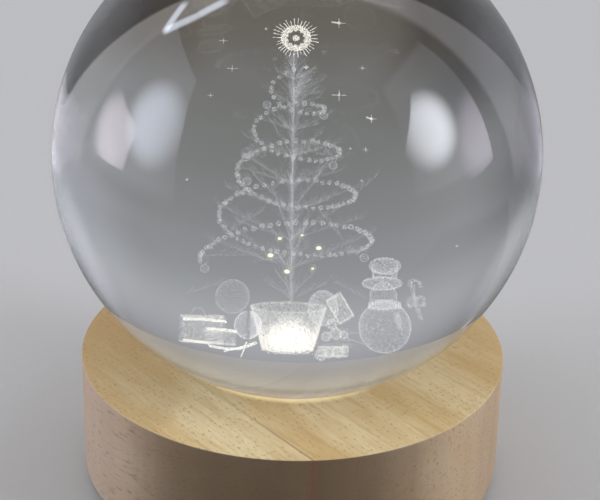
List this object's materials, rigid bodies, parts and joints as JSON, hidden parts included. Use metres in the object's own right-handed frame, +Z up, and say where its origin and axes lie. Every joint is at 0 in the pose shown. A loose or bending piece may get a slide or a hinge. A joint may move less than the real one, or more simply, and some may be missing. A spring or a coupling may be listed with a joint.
{
  "type": "crystal ball lamp",
  "caption": "Table lamp of a loose solid glass ball on a turned wooden light base, with a ring of light sources under the ball and a power inlet and push button at the rear.",
  "frame": {"origin": "centre of the surface that the lamp stands on, below the middle of the ball", "axes": "+Z up through the ball, -Y the front, +Y the rear with the inlet and the button, +X the lamp's left seen from behind"},
  "size_m": [0.08, 0.08, 0.0989],
  "materials": {
    "crystal_glass": "polished clear optical glass",
    "rubberwood": "sanded, thin clear oil",
    "cover_plastic": "fine texture",
    "foot_rubber": "matt",
    "screw_steel": "plated",
    "white_board": "white solder mask, satin",
    "led_frame": "moulded white",
    "led_phosphor": "soft clear gel with yellow phosphor",
    "chip_black": "matt",
    "red_insulation": "soft vinyl",
    "black_insulation": "soft vinyl",
    "green_board": "green solder mask",
    "capacitor_case": "moulded",
    "switch_plastic": "moulded",
    "tinned_pin": "tinned",
    "stem_plastic": "moulded natural",
    "button_plastic": "satin",
    "inlet_steel": "nickel plated",
    "inlet_plastic": "moulded",
    "contact_gold": "gold plated",
    "bezel_plastic": "satin"
  },
  "bodies": {
    "base": {"wooden_base": "rubberwood", "bottom_cover": "cover_plastic", "rubber_foot_1": "foot_rubber", "rubber_foot_2": "foot_rubber", "rubber_foot_3": "foot_rubber", "rubber_foot_4": "foot_rubber", "cover_screw_1": "screw_steel", "cover_screw_2": "screw_steel", "cover_screw_3": "screw_steel", "cover_screw_4": "screw_steel", "led_board": "white_board", "led_board_screw_1": "screw_steel", "led_board_screw_2": "screw_steel", "led_board_screw_3": "screw_steel", "led_frame_1": "led_frame", "led_frame_2": "led_frame", "led_frame_3": "led_frame", "led_frame_4": "led_frame", "led_frame_5": "led_frame", "led_frame_6": "led_frame", "led_phosphor_1": "led_phosphor", "led_phosphor_2": "led_phosphor", "led_phosphor_3": "led_phosphor", "led_phosphor_4": "led_phosphor", "led_phosphor_5": "led_phosphor", "led_phosphor_6": "led_phosphor", "led_resistor_1": "chip_black", "led_resistor_2": "chip_black", "led_resistor_3": "chip_black", "lead_red": "red_insulation", "lead_black": "black_insulation", "control_board": "green_board", "control_board_screw_1": "screw_steel", "control_board_screw_2": "screw_steel", "control_resistor_1": "chip_black", "control_resistor_2": "chip_black", "control_capacitor": "capacitor_case", "switch_body": "switch_plastic", "switch_terminal_1": "tinned_pin", "switch_terminal_2": "tinned_pin", "switch_terminal_3": "tinned_pin", "switch_terminal_4": "tinned_pin", "switch_terminal_5": "tinned_pin", "switch_terminal_6": "tinned_pin", "inlet_shell": "inlet_steel", "inlet_insulator": "inlet_plastic", "upper_contact_1": "contact_gold", "upper_contact_2": "contact_gold", "upper_contact_3": "contact_gold", "lower_contact_1": "contact_gold", "lower_contact_2": "contact_gold", "lower_contact_3": "contact_gold", "rear_bezel": "bezel_plastic"},
    "ball": {"crystal_ball": "crystal_glass"},
    "button": {"button_cap": "button_plastic", "switch_stem": "stem_plastic"}
  },
  "joints": [
    {"name": "ball_lift", "type": "slide", "parent": "base", "child": "ball", "axis": [0, 0, 1], "range_m": [0, 0.05]},
    {"name": "button_press", "type": "slide", "parent": "base", "child": "button", "axis": [0, -1, 0], "range_m": [0, 0.001], "stiffness_N_per_m": 300, "springref_m": -0.003}
  ]
}
